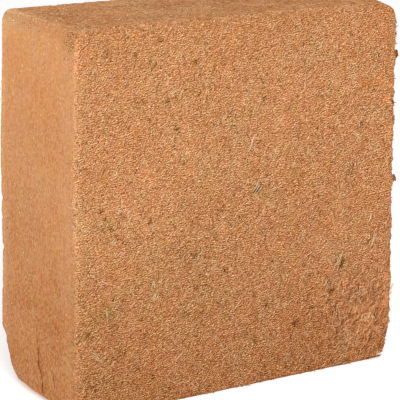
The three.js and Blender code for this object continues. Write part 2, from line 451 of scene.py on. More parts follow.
def cut_cracks(numbers, points, directions):
    """Pushes each crack's columns into the left wall. Gives the painted shade of each point: how much
    darker it is, the more so where the crack is deep.
    """
    shade = np.zeros(len(points))
    for crack in CRACKS:
        middle = int(np.argmin(np.abs(LINES[1] - crack["column"])))
        for step, share in ((-1, CRACK_LIPS), (0, 1), (1, CRACK_LIPS)):
            column = numbers[:, middle + step, :]
            column = column[column >= 0]
            _, depth = crack_values(crack, points[column, 2])
            sunk = share * depth * np.clip(-directions[column, 0], 0, 1)
            points[column, 0] += sunk
            shade[column] = share * crack["painted_shade"] * np.minimum(1, sunk / share / CRACK_FULL)
    return shade


def roughness_at(places, directions):
    """From 0 on a pressed wall to 1 on a rough face and on what has crumbled."""
    facing = np.abs(directions[:, 1])
    face_distance = HALF[1] - np.abs(places[:, 1])
    wave = (noise_at(places, CRUMBLE_WIDTH["pitch"], LAYER["crumble"]) + 1) / 2
    width = mix(CRUMBLE_WIDTH["least"], CRUMBLE_WIDTH["most"], wave ** 2)
    width = width + CRUMBLE_WIDTH["more_on_top"] * np.maximum(0, directions[:, 2])
    rough = np.maximum(np.clip(facing * FACE_SHARPNESS, 0, 1), fade(face_distance, width))
    rough = np.maximum(rough, TOP_ROUGHNESS * directions[:, 2])
    rubbed = np.minimum(1, RUBBED_RIM["sharpness"] * fade(HALF[1] + places[:, 1], RUBBED_RIM["reach"]))
    rough = np.maximum(rough, RUBBED_RIM["roughness"] * rubbed)
    crumbs = bell(places[:, 2] + HALF[2] - TOP_LEFT_CRUMBS["height"], TOP_LEFT_CRUMBS["reach"])
    rough = np.maximum(rough, TOP_LEFT_CRUMBS["roughness"] * crumbs * np.maximum(0, -directions[:, 0]))
    left_rim = bell(places[:, 0] + HALF[0], SMOOTH_RIM["reach"]) * (places[:, 1] < 0)
    rough = rough * (1 - SMOOTH_RIM["less"] * left_rim)
    ragged = 1 + CRUMBLED_EDGE["wave"] * noise_at(places, CRUMBLED_EDGE["pitch"], LAYER["crumble"])
    for centre, reach, _ in CRUMBLED:
        distance = np.linalg.norm(places + [0, 0, HALF[2]] - centre, axis=1)
        crumbled = CRUMBLED_EDGE["sharpness"] * fade(distance * ragged, reach)
        rough = np.maximum(rough, np.clip(crumbled, 0, 1))
    return rough


def make_block_points():
    """The fine mesh of the pressed block: lattice numbers, points, quads, how rough each point is and how
    much painted shade a crack gives it."""
    numbers, places = number_lattice()
    points, outward, directions, rim_distance, on_face = round_block(lean_to_cracks(places))
    rough = roughness_at(points, directions)
    outline_x = points[:, 0].copy()
    on_base = (points[:, 2] < ON_BASE - HALF[2]) & (places[:, 2] == -HALF[2]) & ~on_face
    add_face_relief(points, rim_distance, on_face)
    shaped = points.copy()
    chip_rim(shaped, outward, rim_distance)
    shape_walls(shaped, outline_x)
    points = np.where(on_base[:, None], points, shaped)
    points[:, 2] = np.maximum(points[:, 2] + HALF[2], 0)
    wear_corners(points)
    fray_rims(points, directions, rim_distance)
    settle(points)
    scatter = RANDOM.uniform(-1, 1, len(points))
    rough_height = octaves(points, ROUGH_RELIEF, LAYER["relief"]) + ROUGH_SCATTER * scatter - ROUGH_INSET
    wall_height = octaves(points, WALL_RELIEF, LAYER["relief"]) + WALL_SCATTER * scatter - WALL_INSET
    height = mix(wall_height, rough_height, rough) * ~on_base
    points += directions * height[:, None]
    painted_crack_shade = cut_cracks(numbers, points, directions)
    points[:, 2] = np.maximum(points[:, 2], 0)
    points[on_base, 2] = 0
    quads = np.concatenate([side_quads(numbers, side) for side in SIDES])
    return numbers, points, quads, rough, painted_crack_shade


# Colour fields, shared by the block, its grains and its fibres

# Patches of the front face that differ, as (x, z, reach, tone, hue): orange ones and olive ones
FRONT_PATCHES = [
    (-131, 215, 3.5, 0.05, -0.2), (-91, 187, 4, 0.04, -0.2), (-82, 179, 4, 0.08, -0.1),
    (-48, 183, 4, 0.03, -0.25), (12, 184, 3.5, 0.02, -0.3), (-17, 131, 4, 0.04, -0.15),
    (132, 239, 3.0, 0.06, -0.6), (118, 235, 3.5, -0.06, -0.4), (141, 221, 3.5, 0.08, -0.5),
    (147, 232, 4, 0.02, -0.35), (146, 196, 4, 0.05, -0.3), (147, 52, 7, 0.1, -0.2),
    (147, 70, 5, 0.08, -0.15), (122, 38, 28, 0.08, -0.09),
    (105, 164, 5, -0.03, 0.15), (-81, 96, 5, 0.0, 0.25), (-123, 82, 6, -0.04, 0.3),
    (99, 91, 5, -0.05, 0.3), (-125, 150, 8, -0.04, 0.25), (-54, 70, 5, -0.03, 0.2),
]

# Dark specks of the front face, as (x, z, reach)
FRONT_SPECKS = [
    (-122, 281, 1.6), (-99, 277, 2), (-76, 287, 1.8), (-45, 268, 1.8), (-18, 266, 2.2), (-70, 240, 2.6),
    (-92, 241, 1.7), (-86, 229, 2), (-61, 217, 2), (18, 233, 2), (18, 244, 1.7), (115, 202, 2.6),
    (132, 253, 2.2), (120, 209, 1.7), (136, 198, 1.8), (-129, 162, 2), (-91, 155, 2), (-85, 148, 1.7),
    (-115, 140, 2.4), (-44, 115, 2.3), (-17, 101, 1.8), (-39, 69, 1.8), (-54, 78, 1.7), (-89, 58, 2.4),
    (-140, 67, 2), (88, 67, 3), (53, 46, 2.4), (70, 56, 1.8), (23, 65, 1.8), (14, 37, 2.2),
    (13, 161, 1.6), (16, 165, 1.6),
]
SPECK_LOOK = {"tone": -0.4, "hue": 0.25, "pitch": 1.7, "middle": 0.5}
FACE_RIM_PAINTED_HIGHLIGHT = {"tone": 0.05, "reach": 5}  # painted highlight: the face is paler along its left rim

# Painted highlights: the pressed walls are paler along both of their long rims: which rim, how far from it
# the band's middle lies, its reach and its tone
WALL_RIM_PAINTED_HIGHLIGHTS = [
    {"rim": -1, "inset": 10, "reach": 9, "tone": 0.05},
    {"rim": 1, "inset": 4, "reach": 6, "tone": 0.095},
]


# Painted highlights along the long rims of the walls
def wall_rim_painted_highlights(points):
    shift = 0
    for band in WALL_RIM_PAINTED_HIGHLIGHTS:
        from_rim = HALF[1] - band["rim"] * points[:, 1]
        shift = shift + band["tone"] * bell(from_rim - band["inset"], band["reach"])
    return shift


def at_top(points):
    """1 on the top wall, falling off below it."""
    return fade(SIZE[2] - TOP_BAND["below"] - points[:, 2], TOP_BAND["reach"])


def tone_shift(points):
    shift = octaves(points, TONE_MOTTLE, LAYER["tone"])
    left = TOP_LOOK["left"] * bell(points[:, 0] + HALF[0], TOP_LOOK["reach"])
    shift += at_top(points) * (TOP_LOOK["tone"] + left + octaves(points, TOP_MOTTLE, LAYER["tone"]))
    for x, z, reach, tone, _ in FRONT_PATCHES:
        shift += tone * front_bell(points, x, z, reach)
    for centre, reach, paler in CRUMBLED:
        shift += paler * bell(np.linalg.norm(points - centre, axis=1), reach)
    broken = SPECK_LOOK["middle"] + noise_at(points, SPECK_LOOK["pitch"])
    for x, z, reach in FRONT_SPECKS:
        shift += SPECK_LOOK["tone"] * front_bell(points, x, z, reach) * broken
    return shift


def clusters(points):
    """From 0 to 1 where straws and dark specks lie closer together and the coir is more olive."""
    wave = noise_at(points, CLUSTER["pitch"], LAYER["cluster"])
    return np.clip((wave - CLUSTER["threshold"]) / CLUSTER["soft"], 0, 1)


def tone_at(points, rough):
    """The block's tone, from pressed wall to rough face, with painted shade towards the base and painted
    highlights along the rims.
    """
    low = 1 - points[:, 2] / SIZE[2]
    # Both lines paint shade: the tone darkens towards the base, where the light falls off
    wall = WALL_TONE_AND_PAINTED_SHADE["top"] + WALL_TONE_AND_PAINTED_SHADE["down"] * low + wall_rim_painted_highlights(points)
    face = FACE_TONE_AND_PAINTED_SHADE["top"] + FACE_TONE_AND_PAINTED_SHADE["down"] * low + FACE_TONE_AND_PAINTED_SHADE["base"] * low ** 2
    # painted highlight along the face's left rim
    face += FACE_RIM_PAINTED_HIGHLIGHT["tone"] * bell(points[:, 0] + HALF[0], FACE_RIM_PAINTED_HIGHLIGHT["reach"])
    return mix(wall, face, rough) + tone_shift(points)


def hue_shift(points):
    shift = octaves(points, HUE_MOTTLE, LAYER["hue"]) + CLUSTER["hue"] * clusters(points)
    shift += HUE["right"] * np.maximum(0, points[:, 0] / HALF[0])
    shift += TOP_LOOK["hue"] * at_top(points)
    for centre, reach, _ in CRUMBLED:
        shift += CRUMBLED_HUE * bell(np.linalg.norm(points - centre, axis=1), reach)
    for x, z, reach, _, hue in FRONT_PATCHES:
        shift += hue * front_bell(points, x, z, reach)
    for x, z, reach in FRONT_SPECKS:
        shift += SPECK_LOOK["hue"] * front_bell(points, x, z, reach)
    return shift


def front_bell(points, x, z, reach):
    """1 at a place of the front face, falling off around it."""
    return bell(np.hypot(points[:, 0] - x, points[:, 2] - z), reach) * (points[:, 1] < 0)


# Meshes


def make_piece(name, points, faces, corner_places, material, smooth, values=None):
    """One object from arrays: points, faces of one kind, a map for each corner, values per point."""
    mesh = bpy.data.meshes.new(name)
    mesh.vertices.add(len(points))
    mesh.vertices.foreach_set("co", (points * MM).ravel())
    mesh.loops.add(faces.size)
    mesh.loops.foreach_set("vertex_index", faces.ravel())
    mesh.polygons.add(len(faces))
    mesh.polygons.foreach_set("loop_start", np.arange(0, faces.size, faces.shape[1]))
    mesh.polygons.foreach_set("use_smooth", np.full(len(faces), smooth))
    mesh.uv_layers.new(name="OFBake").data.foreach_set("uv", corner_places.ravel())
    for key, value in (values or {}).items():
        mesh.attributes.new(key, "FLOAT", "POINT").data.foreach_set("value", value)
    mesh.update(calc_edges=True)
    mesh.materials.append(material)
    piece = bpy.data.objects.new(name, mesh)
    bpy.context.scene.collection.objects.link(piece)
    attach(piece, "root")
    return piece


# Layout of the block's own map: two faces side by side, and the four walls above them
MAP_GAP = 3
MAP_SPOTS = {
    "front": (0, 0),
    "back": (1, 0),
    "left": (0, 1),
    "right": (1, 1),
    "base": (0, 2),
    "top": (1, 2),
}


def block_map(side):
    """The place on the map of each corner of each cell of one side."""
    axis, _ = SIDES[side]
    first, second = [LINES[a] + HALF[a] for a in range(3) if a != axis]
    across, up = np.meshgrid(first, second, indexing="ij")
    if len(first) < len(second):
        across, up = up, across
    column, row = MAP_SPOTS[side]
    across = across + column * (SIZE[0] + MAP_GAP)
    up = up + (row > 0) * (SIZE[0] + MAP_GAP) + (row > 1) * (SIZE[1] + MAP_GAP)
    grid = np.stack([across, up], axis=-1) / (2 * (SIZE[0] + MAP_GAP))
    return outward_cells(grid, side)


def vertex_normals(piece):
    normals = np.empty(3 * len(piece.data.vertices), np.float32)
    piece.data.vertex_normals.foreach_get("vector", normals)
    return normals.reshape(-1, 3).astype(float)


# Grains and fibres are coloured by their place on their map: U is the tone and V the hue. Each
# lies in one small cell of it.
MAP_CELLS = 64
CELL_MARGIN = 0.15


def cell_corners(tone, hue, spots):
    """Map places inside the cell of each tone and hue, at the given spots from 0 to 1."""
    column = np.clip(np.round(tone * MAP_CELLS), 0, MAP_CELLS - 1)
    row = np.clip(np.round(hue * MAP_CELLS), 0, MAP_CELLS - 1)
    cell = np.stack([column, row], axis=-1)[:, None, :]
    inside = CELL_MARGIN + (1 - 2 * CELL_MARGIN) * np.asarray(spots, float)[None]
    return (cell + inside) / MAP_CELLS


class Sheet:
    """One side of the block, to lay things on."""

    def __init__(self, side, numbers, points, normals):
        self.axis, end = SIDES[side]
        grid = np.take(numbers, end, self.axis)
        self.points = points[grid]
        self.normals = normals[grid]
        self.lines = [LINES[a] + (HALF[2] if a == 2 else 0) for a in range(3) if a != self.axis]
        across = self.points[1:, :-1] - self.points[:-1, :-1]
        up = self.points[:-1, 1:] - self.points[:-1, :-1]
        self.areas = np.linalg.norm(np.cross(across, up), axis=-1)

    def blend(self, values, first, second):
        """Values between lattice points, at lattice places that needn't be whole."""
        i = np.clip(np.floor(first).astype(int), 0, values.shape[0] - 2)
        j = np.clip(np.floor(second).astype(int), 0, values.shape[1] - 2)
        u = (first - i)[..., None]
        v = (second - j)[..., None]
        low = values[i, j] * (1 - u) + values[i + 1, j] * u
        high = values[i, j + 1] * (1 - u) + values[i + 1, j + 1] * u
        return low * (1 - v) + high * v

    def at_lattice(self, first, second):
        return self.blend(self.points, first, second), unit(self.blend(self.normals, first, second))

    def at(self, first, second):
        """The surface and its outward direction at places given in millimetres."""
        i = np.interp(first, self.lines[0], np.arange(len(self.lines[0])))
        j = np.interp(second, self.lines[1], np.arange(len(self.lines[1])))
        return self.at_lattice(i, j)

    def scatter(self, count, weights=None):
        """Random spots, spread evenly by area or by area times weights."""
        share = self.areas if weights is None else self.areas * weights
        share = share.ravel() / share.sum()
        steps = (np.arange(count) + RANDOM.random(count)) / count
        cell = np.minimum(np.searchsorted(np.cumsum(share), steps), share.size - 1)
        i, j = np.unravel_index(cell, self.areas.shape)
        return self.at_lattice(i + RANDOM.random(count), j + RANDOM.random(count))


def side_frames(normals, axis):
    """Two directions in the surface for each normal: along the side's first and second axis."""
    first_axis = np.eye(3)[1 if axis == 0 else 0]
    second = np.cross(normals, first_axis)
    second = unit(second * np.sign(second.sum(axis=-1, keepdims=True)))
    first = np.cross(second, normals)
    first *= np.sign(first @ first_axis)[..., None]
    return first, second


# A chip is a tetrahedron and a splinter is a slim double pyramid with a ring of three corners
CHIP_CORNERS = np.array([[1, 1, 1], [1, -1, -1], [-1, 1, -1], [-1, -1, 1]]) / math.sqrt(3)
CHIP_FACES = np.array([[0, 1, 2], [0, 2, 3], [0, 3, 1], [1, 3, 2]])
CHIP_SPOTS = [(0, 0), (1, 0), (1, 1), (0, 1)]
CHIP_STRETCH = (0.7, 1.5)  # how many times longer and slimmer one is
CHIP_THICKNESS = (0.5, 0.9)  # against its size
RING = [math.radians(angle) for angle in (90, 210, 330)]
RING_STAGGER = 0.1  # how far along the splinter each corner of its ring lies from the last one
TIP_DROP = 0.4  # how low a splinter's tips are, against its half width
SPLINTER_CORNERS = np.array([
    [-1, 0, -TIP_DROP],
    *([RING_STAGGER * k, math.cos(angle), math.sin(angle)] for k, angle in enumerate(RING)),
    [1, 0, -TIP_DROP],
])
SPLINTER_FACES = np.array([[0, 2, 1], [0, 3, 2], [0, 1, 3], [4, 1, 2], [4, 2, 3], [4, 3, 1]])
SPLINTER_SPOTS = [(0, 0), (1, 0), (1, 1), (0, 1), (0, 0)]


def random_turns(count):
    """Random rotations, as matrices."""
    turns, _ = np.linalg.qr(RANDOM.normal(size=(count, 3, 3)))
    return turns * np.sign(np.linalg.det(turns))[:, None, None]


def place_shapes(local, spots, normals, axis, angle):
    """Puts small shapes on the surface, each turned about its normal."""
    first, second = side_frames(normals, axis)
    turn_cos, turn_sin = np.cos(angle)[:, None], np.sin(angle)[:, None]
    along = first * turn_cos + second * turn_sin
    beside = np.cross(normals, along)
    return (
        spots[:, None]
        + local[..., 0:1] * along[:, None]
        + local[..., 1:2] * beside[:, None]
        + local[..., 2:3] * normals[:, None]
    )


def joined(shapes, faces, corner_spots, tone, hue):
    """Arrays of one mesh that holds every shape: points, faces and map."""
    count, corners = shapes.shape[:2]
    all_faces = (faces[None] + corners * np.arange(count)[:, None, None]).reshape(-1, 3)
    places = cell_corners(tone, hue, corner_spots)
    return shapes.reshape(-1, 3), all_faces, places.reshape(-1, 2)[all_faces.ravel()]


def merge(groups):
    """Joins the arrays of several groups into one mesh's."""
    points, faces, places, start = [], [], [], 0
    for group_points, group_faces, group_places in groups:
        points.append(group_points)
        faces.append(group_faces + start)
        places.append(group_places)
        start += len(group_points)
    return np.concatenate(points), np.concatenate(faces), np.concatenate(places)


# Some of the shapes are far darker or paler than the coir around them: how often in the plain coir
# and how much oftener in a cluster, by how much, and how their hue differs
ODD_RATE = {"plain": 0.7, "clustered": 0.8}
DARKER = (0.2, 0.4)
PALER = (0.15, 0.4)
ODD_HUE = {"spread": 0.05, "dark": 0.12, "pale": 0.07}
TONE_ENDS = (0.02, 0.98)


def pick_tones(spots, rough, paler, spread, dark_share, pale_share):
    """A tone and a hue for each small shape, around the block's tone where it lies, with its painted shade
    and highlights.
    """
    count = len(spots)
    tone = around(tone_at(spots, rough) + paler, spread, count)
    kind = RANDOM.random(count) / (ODD_RATE["plain"] + ODD_RATE["clustered"] * clusters(spots))
    dark = kind < dark_share
    pale = ~dark & (kind < dark_share + pale_share)
    tone = np.where(dark, tone - within(DARKER, count), tone)
    tone = np.where(pale, tone + within(PALER, count), tone)
    hue = around(HUE["face"] + hue_shift(spots), ODD_HUE["spread"], count)
    hue = hue + ODD_HUE["dark"] * dark + ODD_HUE["pale"] * pale
    return np.clip(tone, *TONE_ENDS), np.clip(hue, *TONE_ENDS)


# Most splinters and fibres rise to the right, some to the left
LEANS = {"main": math.radians(58), "spread": math.radians(20), "other_share": 0.2}


def pick_leans(count):
    lean = around(LEANS["main"], LEANS["spread"], count)
    other = RANDOM.random(count) < LEANS["other_share"]
    return np.where(other, -lean, lean)


def pick_turns(count):
    return RANDOM.uniform(0, math.tau, count)


# The two kinds of small shape: their form, how they are turned, and the shares of them that are dark
# and pale
CHIP_KIND = {"faces": CHIP_FACES, "spots": CHIP_SPOTS, "turns": pick_turns, "odd_shares": (0.06, 0.05)}
SPLINTER_KIND = {
    "faces": SPLINTER_FACES,
    "spots": SPLINTER_SPOTS,
    "turns": pick_leans,
    "odd_shares": (0.14, 0.24),
}


def lay_shapes(kind, local, look, sheet, spots, normals):
    """Lifts the shapes off the surface, turns each about its normal and colours it."""
    count = len(spots)
    local = local + [0, 0, 1] * within(look["lift"], count)[:, None, None]
    shapes = place_shapes(local, spots, normals, sheet.axis, kind["turns"](count))
    rough = look.get("rough", 1)
    tone, hue = pick_tones(spots, rough, look["paler"], look["spread"], *kind["odd_shares"])
    return joined(shapes, kind["faces"], kind["spots"], tone, hue)


def make_chips(sheet, count, look, weights=None):
    spots, normals = sheet.scatter(count, weights)
    width = within(look["size"], count)
    stretch = within(CHIP_STRETCH, count)
    local = CHIP_CORNERS[None] @ random_turns(count)
    thickness = width * within(CHIP_THICKNESS, count)
    scale = np.stack([width * stretch, width / stretch, thickness], axis=-1)
    return lay_shapes(CHIP_KIND, local * scale[:, None], look, sheet, spots, normals)


def make_splinters(sheet, count, look, weights=None):
    spots, normals = sheet.scatter(count, weights)
    long = within(look["length"], count) / 2
    wide = within(look["width"], count) / 2
    scale = np.stack([long, wide, wide], axis=-1)
    return lay_shapes(SPLINTER_KIND, SPLINTER_CORNERS[None] * scale[:, None], look, sheet, spots, normals)


# Fibres


def tube_faces(rings):
    """Faces of a three-sided tube with a point at each end."""
    faces = [[0, 1 + (k + 1) % 3, 1 + k] for k in range(3)]
    for ring in range(rings - 1):
        here, there = 1 + 3 * ring, 4 + 3 * ring
        for k in range(3):
            n = (k + 1) % 3
            faces += [[here + k, here + n, there + n], [here + k, there + n, there + k]]
    last = 1 + 3 * (rings - 1)
    faces += [[last + k, last + (k + 1) % 3, last + 3] for k in range(3)]
    return np.array(faces)


def tube_spots(rings):
    """Map spots of the same tube's points: two rows in turn, so that every face has width."""
    spots = [(0.5, 1)]
    for ring in range(rings):
        spots += [(k / 2, ring % 2) for k in range(3)]
    return spots + [(0.5, 1 - (rings - 1) % 2)]


TUBE_ENDS = 0.55  # how thick a fibre is towards its tips, against its middle


def make_tubes(paths, normals, radius, tone, hue):
    """Fibres along paths, each with the same number of points. The first and last are its tips."""
    tangent = unit(np.gradient(paths, axis=1))
    side = unit(np.cross(tangent, normals))
    up = np.cross(side, tangent)
    rings = paths.shape[1] - 2
    taper = mix(TUBE_ENDS, 1, np.sin(np.linspace(0, math.pi, rings + 2)[1:-1]))
    size = radius[:, None, None] * taper[None, :, None]
    corners = []
    for angle in RING:
        offset = side[:, 1:-1] * math.cos(angle) + up[:, 1:-1] * math.sin(angle)
        corners.append(paths[:, 1:-1] + size * offset)
    ring_points = np.stack(corners, axis=2).reshape(len(paths), 3 * rings, 3)
    shapes = np.concatenate([paths[:, :1], ring_points, paths[:, -1:]], axis=1)
    return joined(shapes, tube_faces(rings), tube_spots(rings), tone, hue)


OVERHANG = 1.3  # how far past the rim a fibre may reach
TIP_DEPTH = 0.3  # how deep a fibre's tips are pressed in


def lay_fibres(sheet, centres, angle, length, bend, rise, steps):
    """Paths of fibres that lie on a large face, with the outward direction at each point."""
    along = np.linspace(-0.5, 0.5, steps)
    heading = angle[:, None] + bend[:, None] * along[None]
    stride = length[:, None] / (steps - 1)
    run = np.stack([np.cos(heading), np.sin(heading)], axis=-1) * stride[..., None]
    walked = np.cumsum(run, axis=1)
    walked += centres[:, None] - walked[:, steps // 2][:, None]
    low = np.array([-HALF[0], 0])
    high = np.array([HALF[0], SIZE[2]])
    held = np.clip(walked, low, high)
    past = np.clip(walked - held, -OVERHANG, OVERHANG)
    surface, normals = sheet.at(held[..., 0], held[..., 1])
    arch = 1 - (2 * along[None]) ** 2
    lift = rise[:, None] * arch - TIP_DEPTH * (arch == 0)
    paths = surface + normals * lift[..., None]
    paths[..., 0] += past[..., 0]
    paths[..., 2] += past[..., 1]
    return paths, normals


# Fibres of the rough faces, from the commonest kind to the rarest: share of the fibres, length,
# radius, bend, points along each
FIBRE_KINDS = [
    {"share": 0.7, "length": (4, 8), "radius": (0.14, 0.22), "bend": 0.2, "steps": 5},
    {"share": 0.24, "length": (7, 13), "radius": (0.13, 0.2), "bend": 0.4, "steps": 7},
    {"share": 0.06, "length": (12, 20), "radius": (0.12, 0.18), "bend": 0.9, "steps": 10},
]
FIBRE_RISE = (0.1, 0.4)
FIBRE_TONES = {"paler": 0.06, "spread": 0.1, "dark_share": 0.16, "pale_share": 0.4}


def make_face_fibres(sheet, count):
    groups = []
    for kind in FIBRE_KINDS:
        number = int(count * kind["share"])
        spots, _ = sheet.scatter(number)
        bend = around(0, kind["bend"], number)
        lean = pick_leans(number)
        length = within(kind["length"], number)
        rise = within(FIBRE_RISE, number)
        paths, normals = lay_fibres(sheet, spots[:, [0, 2]], lean, length, bend, rise, kind["steps"])
        tone, hue = pick_tones(spots, 1, **FIBRE_TONES)
        radius = within(kind["radius"], number)
        groups.append(make_tubes(paths, normals, radius, tone, hue))
    return groups


# Straws that stand out on the front face: how much they differ in lean, length, tone and place
# along each other, how they bend, and how thick and how far off the face they are
STRAW_LOOK = {
    "lean": 0.08,
    "length": 0.25,
    "tone": 0.05,
    "slide": 0.2,
    "bend": 0.25,
    "radius": (0.22, 0.3),
    "rise": (0.3, 0.6),
    "steps": 7,
}

# Bundles of them, as (place, lean in degrees, length, how far apart, how many, tone, hue)
BUNDLES = [
    ((13, 162), 50, 15, 2.1, 3, 0.97, 0.8),
    # These dark straws lie between the pale ones: partly dark straw, partly a painted shadow beside the
    # pale straws
    ((13.5, 162), 50, 11, 2.1, 2, 0.12, 0.9),
    ((95, 92), 57, 20, 1.3, 2, 0.9, 0.55),
    # These dark straws lie at the lower right of the pale ones: partly a dark core of straw, partly a
    # painted shadow on their shaded side
    ((98.5, 89), 66, 16, 0.8, 4, 0.2, 0.8),
    ((101, 93), 62, 12, 1.0, 1, 0.8, 0.6),
    ((129, 102), 66, 16, 1.1, 2, 0.92, 0.6),
    ((126, 123), 72, 9, 0.5, 2, 0.95, 0.6),
    ((-80, 88), 58, 9, 1.9, 3, 0.97, 0.7),
    ((-82, 99), 85, 9, 1.6, 2, 0.85, 0.8),
    ((-123, 82), -82, 8, 0.6, 2, 1.0, 0.65),
    ((-109, 165), 88, 11, 0.5, 2, 0.85, 0.5),
    ((110, 194), -52, 13, 0.8, 3, 0.9, 0.6),
    ((105, 164), 76, 14, 2.4, 2, 0.36, 0.8),
    ((91, 258), 88, 10, 0.5, 1, 0.85, 0.5),
    ((58, 239), 86, 11, 0.8, 2, 0.85, 0.5),
    ((42, 222), 52, 7, 0.3, 2, 0.2, 0.5),
    ((35, 214), 48, 12, 0.5, 2, 0.85, 0.5),
    ((8, 200), 66, 17, 0.5, 2, 0.85, 0.55),
    ((-64, 247), 30, 11, 1.1, 3, 0.85, 0.5),
    ((62, 188), 84, 8, 0.9, 2, 0.95, 0.8),
    ((107, 55), 6, 12, 1.2, 2, 0.85, 0.4),
    ((-116, 137), 40, 9, 1.2, 3, 0.9, 0.6),
    ((-132, 50), -35, 12, 1.2, 4, 0.85, 0.7),
]


def make_bundles(sheet):
    groups = []
    for place, degrees, length, apart, count, tone, hue in BUNDLES:
        lean = math.radians(degrees)
        along = np.array([math.cos(lean), math.sin(lean)])
        beside = np.array([-math.sin(lean), math.cos(lean)])
        shift = (np.arange(count) - (count - 1) / 2) * apart
        slide = length * STRAW_LOOK["slide"] * RANDOM.uniform(-1, 1, count)
        centres = np.array(place) + shift[:, None] * beside + slide[:, None] * along
        leans = around(lean, STRAW_LOOK["lean"], count)
        lengths = length * (1 - STRAW_LOOK["length"] * RANDOM.random(count))
        bend = around(0, STRAW_LOOK["bend"], count)
        rise = within(STRAW_LOOK["rise"], count)
        paths, normals = lay_fibres(sheet, centres, leans, lengths, bend, rise, STRAW_LOOK["steps"])
        tones = np.clip(around(tone, STRAW_LOOK["tone"], count), *TONE_ENDS)
        radius = within(STRAW_LOOK["radius"], count)
        groups.append(make_tubes(paths, normals, radius, tones, np.full(count, hue)))
    return groups


# Straws that lie close together near the bottom right corner of the front face. Their middles stay
# clear of its right and bottom rims
MATTED_CORNER = {
    "at": (122, 38),
    "scatter": 18,
    "clear": (2, 3),
    "count": 1300,
    "length": (4, 12),
    "radius": (0.14, 0.24),
    "lean": 52,
    "spread": 45,
    "bend": 0.5,
    "palest": 0.88,
    "hue": -0.12,
}
MATTED_TONES = {"paler": 0.1, "spread": 0.2, "dark_share": 0.3, "pale_share": 0.35}


def make_matted_corner(sheet):
    count = MATTED_CORNER["count"]
    centres = around(np.array(MATTED_CORNER["at"]), MATTED_CORNER["scatter"], (count, 2))
    right, bottom = MATTED_CORNER["clear"]
    centres = np.clip(centres, [-HALF[0], bottom], [HALF[0] - right, SIZE[2]])
    leans = np.radians(around(MATTED_CORNER["lean"], MATTED_CORNER["spread"], count))
    lengths = within(MATTED_CORNER["length"], count)
    bend = around(0, MATTED_CORNER["bend"], count)
    rise = within(STRAW_LOOK["rise"], count)
    paths, normals = lay_fibres(sheet, centres, leans, lengths, bend, rise, STRAW_LOOK["steps"])
    spots = np.stack([centres[:, 0], np.full(count, -HALF[1]), centres[:, 1]], axis=1)
    tone, hue = pick_tones(spots, 1, **MATTED_TONES)
    tone = np.minimum(tone, MATTED_CORNER["palest"])
    hue = np.maximum(0, hue + MATTED_CORNER["hue"])
    radius = within(MATTED_CORNER["radius"], count)
    return [make_tubes(paths, normals, radius, tone, hue)]


# Ends of fibre that stand out of the block are arcs that turn in the plane of the large faces
END_STEPS = 9
ROOT_DEPTH = 0.4  # how deep a stray or a fringe is rooted
FRONT_DIRECTION = [0.0, -1.0, 0.0]


def make_end(root, heading, length, turn, out):
    """An arc that heads the given way in degrees, turns, and moves outwards."""
    angle = math.radians(heading) + np.linspace(0, turn, END_STEPS)
    strides = unit(np.stack([np.cos(angle), np.full(END_STEPS, out), np.sin(angle)], axis=-1))
    return root + np.cumsum(strides, axis=0) * length / END_STEPS


def make_ends(roots, headings, lengths, turns, out, radius, tone, hue):
    paths = np.array([make_end(*values, out) for values in zip(roots, headings, lengths, turns)])
    normals = np.broadcast_to(FRONT_DIRECTION, paths.shape)
    return make_tubes(paths, normals, radius, tone, hue)


# Stray ends near the front face's right edge and bottom right corner, as (where it is rooted, which
# way it heads in degrees, its length, how far it turns in radians, how thick it is, its tone)
STRAYS = [
    ((148, 58), 58, 8, 0.3, 0.8, 0.97),
    ((149, 57), 62, 8, -0.2, 0.7, 0.9),
    ((147, 55), 60, 7, 0.2, 0.6, 0.85),
    ((149, 52), 66, 7, 0.2, 0.6, 0.7),
    ((124, 1.2), -14, 5, 0.4, 0.6, 0.2),
    ((129, 1.6), -18, 5, 0.6, 0.55, 0.28),
    ((134, 1.2), -8, 6, 0.3, 0.6, 0.16),
    ((139, 1.8), -16, 5, 0.6, 0.55, 0.25),
    ((142, 4), -20, 4, 0.9, 0.5, 0.3),
]
STRAY_OUT = -0.5  # how far it moves out of the front face, for each length along it
STRAY_HUE = 0.5


def make_strays(sheet):
    places, headings, lengths, turns, radius, tone = (np.array(column, float) for column in zip(*STRAYS))
    surface, normals = sheet.at(*places.T)
    roots = surface - ROOT_DEPTH * normals
    hue = np.full(len(STRAYS), STRAY_HUE)
    return [make_ends(roots, headings, lengths, turns, STRAY_OUT, radius, tone, hue)]


# Tangles of thick ends that lie along the front right edge, as (the run of heights they take, how
# far they stand out, how many, how long, their tone)
TANGLES = [
    ((255, 259.5), 3.6, 40, (2.5, 4.5), 0.28),
    ((272, 274), 1.4, 8, (2, 3), 0.42),
    ((282, 285), 1.6, 8, (2, 3), 0.4),
    ((152, 156), 3.0, 26, (2, 4), 0.32),
    ((198, 208), 1.2, 12, (2, 4), 0.45),
    ((221, 232), 1.2, 12, (2, 4), 0.42),
]
TANGLE_LOOK = {
    "heading": -90,
    "spread": 6,
    "turn": 0.2,
    "radius": (0.5, 0.8),
    "tone": 0.08,
    "hue": 0.6,
    "lift": 1,
    "innermost": -0.6,
    "forward": (-0.4, 0.6),
}


